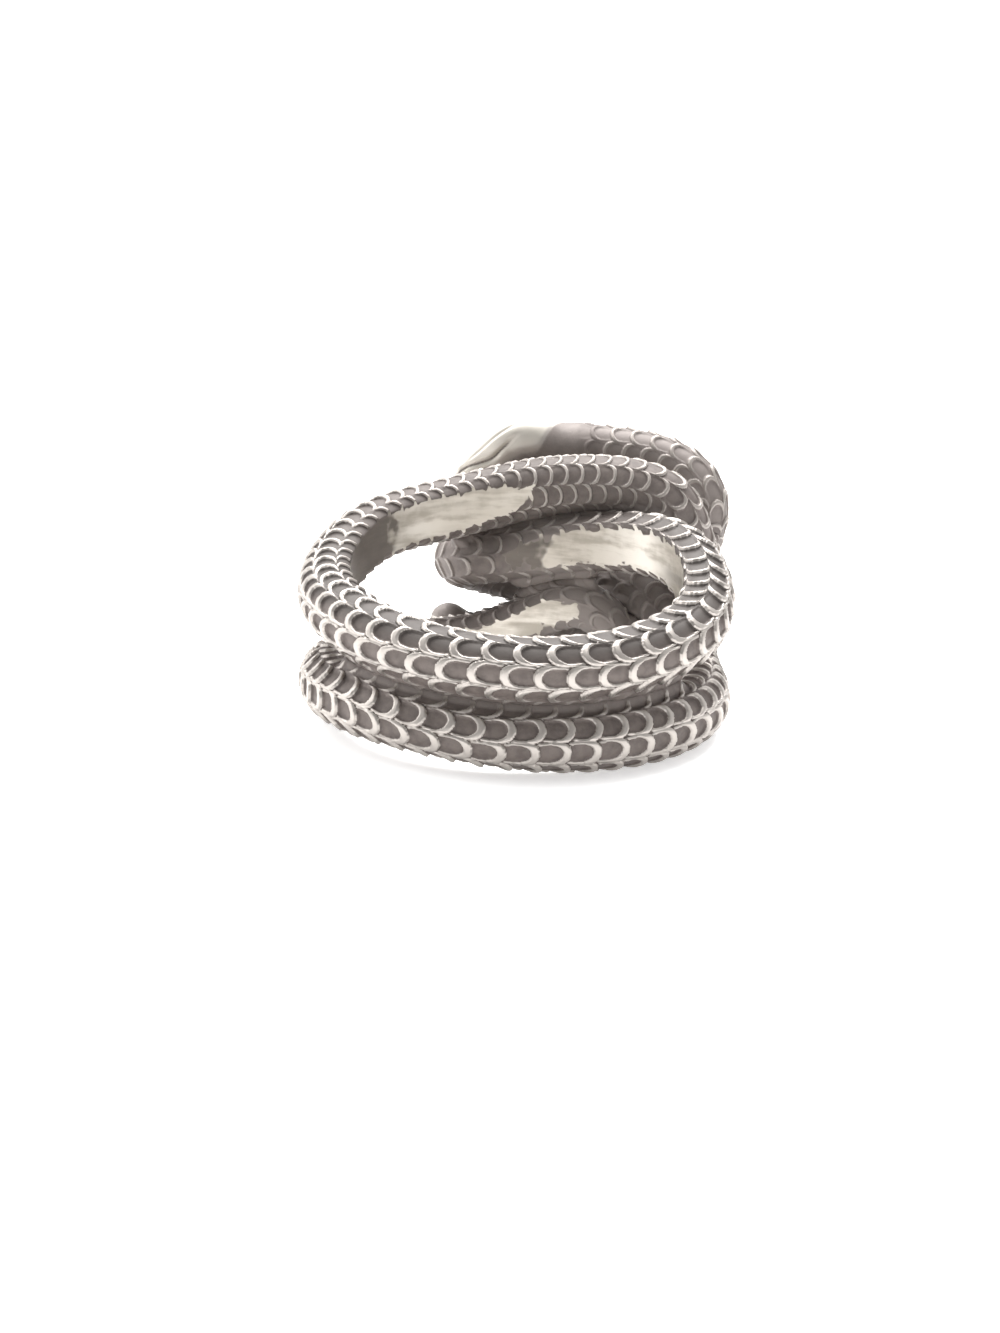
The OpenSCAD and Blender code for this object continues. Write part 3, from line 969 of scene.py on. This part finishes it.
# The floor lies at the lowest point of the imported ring.
floorValues = {"half": 1.6, "colour": (0.88, 0.88, 0.88, 1), "roughness": 0.7, "glow": 0.5}


# One pale square that glows a little, so that it stays near white.
def makeFloor():
    half = floorValues["half"]
    z = cadBox[0][2]
    corners = [(-half, -half, z), (half, -half, z), (half, half, z), (-half, half, z)]
    mesh = bpy.data.meshes.new("floor")
    mesh.from_pydata(corners, [], [(0, 1, 2, 3)])
    material = bpy.data.materials.new("paleFloor")
    s = Shader(material)
    shader = s.node("ShaderNodeBsdfPrincipled", None, {
        "Base Color": floorValues["colour"], "Roughness": floorValues["roughness"],
        "Emission Color": (1, 1, 1, 1), "Emission Strength": floorValues["glow"],
    })
    s.node("ShaderNodeOutputMaterial", None, {"Surface": shader})
    mesh.materials.append(material)
    floor = bpy.data.objects.new("floor", mesh)
    bpy.context.scene.collection.objects.link(floor)
    print("made the floor")


# The photograph is 1000 by 1333 pixels, and the ring's origin lies at originX, originY in it. Angles are in
# degrees and lengths in metres.
cameraValues = {
    "imageWidth": 1000,
    "imageHeight": 1333,
    "originX": 516,
    "originY": 602,
    "elevation": 14.5,
    "roll": 2.0,
    "distance": 0.165,
    "pixelsPerMetre": 18240,    # at the origin
    "sensor": 36.0,
}


# The lens follows from the pixels per metre at the origin, and the shift from the origin's place.
def makeCamera():
    c = cameraValues
    up = math.radians(c["elevation"])
    roll = math.radians(c["roll"])
    back = Vector((0, -math.cos(up), math.sin(up)))
    level = Vector((1, 0, 0))
    above = back.cross(level)
    right = level * math.cos(roll) + above * math.sin(roll)
    over = above * math.cos(roll) - level * math.sin(roll)
    data = bpy.data.cameras.new("camera")
    data.sensor_width = c["sensor"]
    data.lens = c["pixelsPerMetre"] * c["distance"] * c["sensor"] / c["imageHeight"]
    data.shift_x = (c["imageWidth"] / 2 - c["originX"]) / c["imageHeight"]
    data.shift_y = (c["originY"] - c["imageHeight"] / 2) / c["imageHeight"]
    data.clip_start = 0.005
    data.clip_end = 20
    camera = bpy.data.objects.new("camera", data)
    turn = Matrix((right, over, back)).transposed().to_4x4()
    camera.matrix_world = Matrix.Translation(back * c["distance"]) @ turn
    bpy.context.scene.collection.objects.link(camera)
    bpy.context.scene.camera = camera
    print("placed the camera")


# Lights are soft boxes: where each stands, its size in metres and its power in watts. The room is a pale
# tent, dimmer in front of the ring than behind it.
lightValues = {
    "roomFront": 0.48,
    "roomBack": 1.2,
    "roomFade": (-0.9, 0.7),    # how far forwards and back the room's light changes
    "boxes": [
        ("overhead", (0.0, 0.22, 0.42), (0.5, 0.4), 6.0),
        ("leftWindow", (-0.42, 0.1, 0.22), (0.3, 0.4), 1.2),
    ],
}


# Each box faces the origin. The room's strength is a smooth step of how far back a direction points.
def makeLights():
    for name, place, size, power in lightValues["boxes"]:
        data = bpy.data.lights.new(name, "AREA")
        data.shape = "RECTANGLE"
        data.size, data.size_y = size
        data.energy = power
        light = bpy.data.objects.new(name, data)
        turn = Vector(place).to_track_quat("Z", "Y").to_matrix().to_4x4()
        light.matrix_world = Matrix.Translation(place) @ turn
        bpy.context.scene.collection.objects.link(light)
    world = bpy.data.worlds.new("softRoom")
    s = Shader(world)
    direction = s.node("ShaderNodeTexCoord")
    backwards = s.node("ShaderNodeSeparateXYZ", None, {"Vector": direction}, 1)
    low, high = lightValues["roomFade"]
    strength = s.between(backwards, low, high, lightValues["roomFront"], lightValues["roomBack"])
    room = s.node("ShaderNodeBackground", None, {"Color": (1, 1, 1, 1), "Strength": strength})
    s.node("ShaderNodeOutputWorld", None, {"Surface": room})
    bpy.context.scene.world = world
    bpy.context.scene.view_settings.view_transform = "Standard"
    print("set the lights")


makeCamera()
makeLights()
makeFloor()
makeRing()
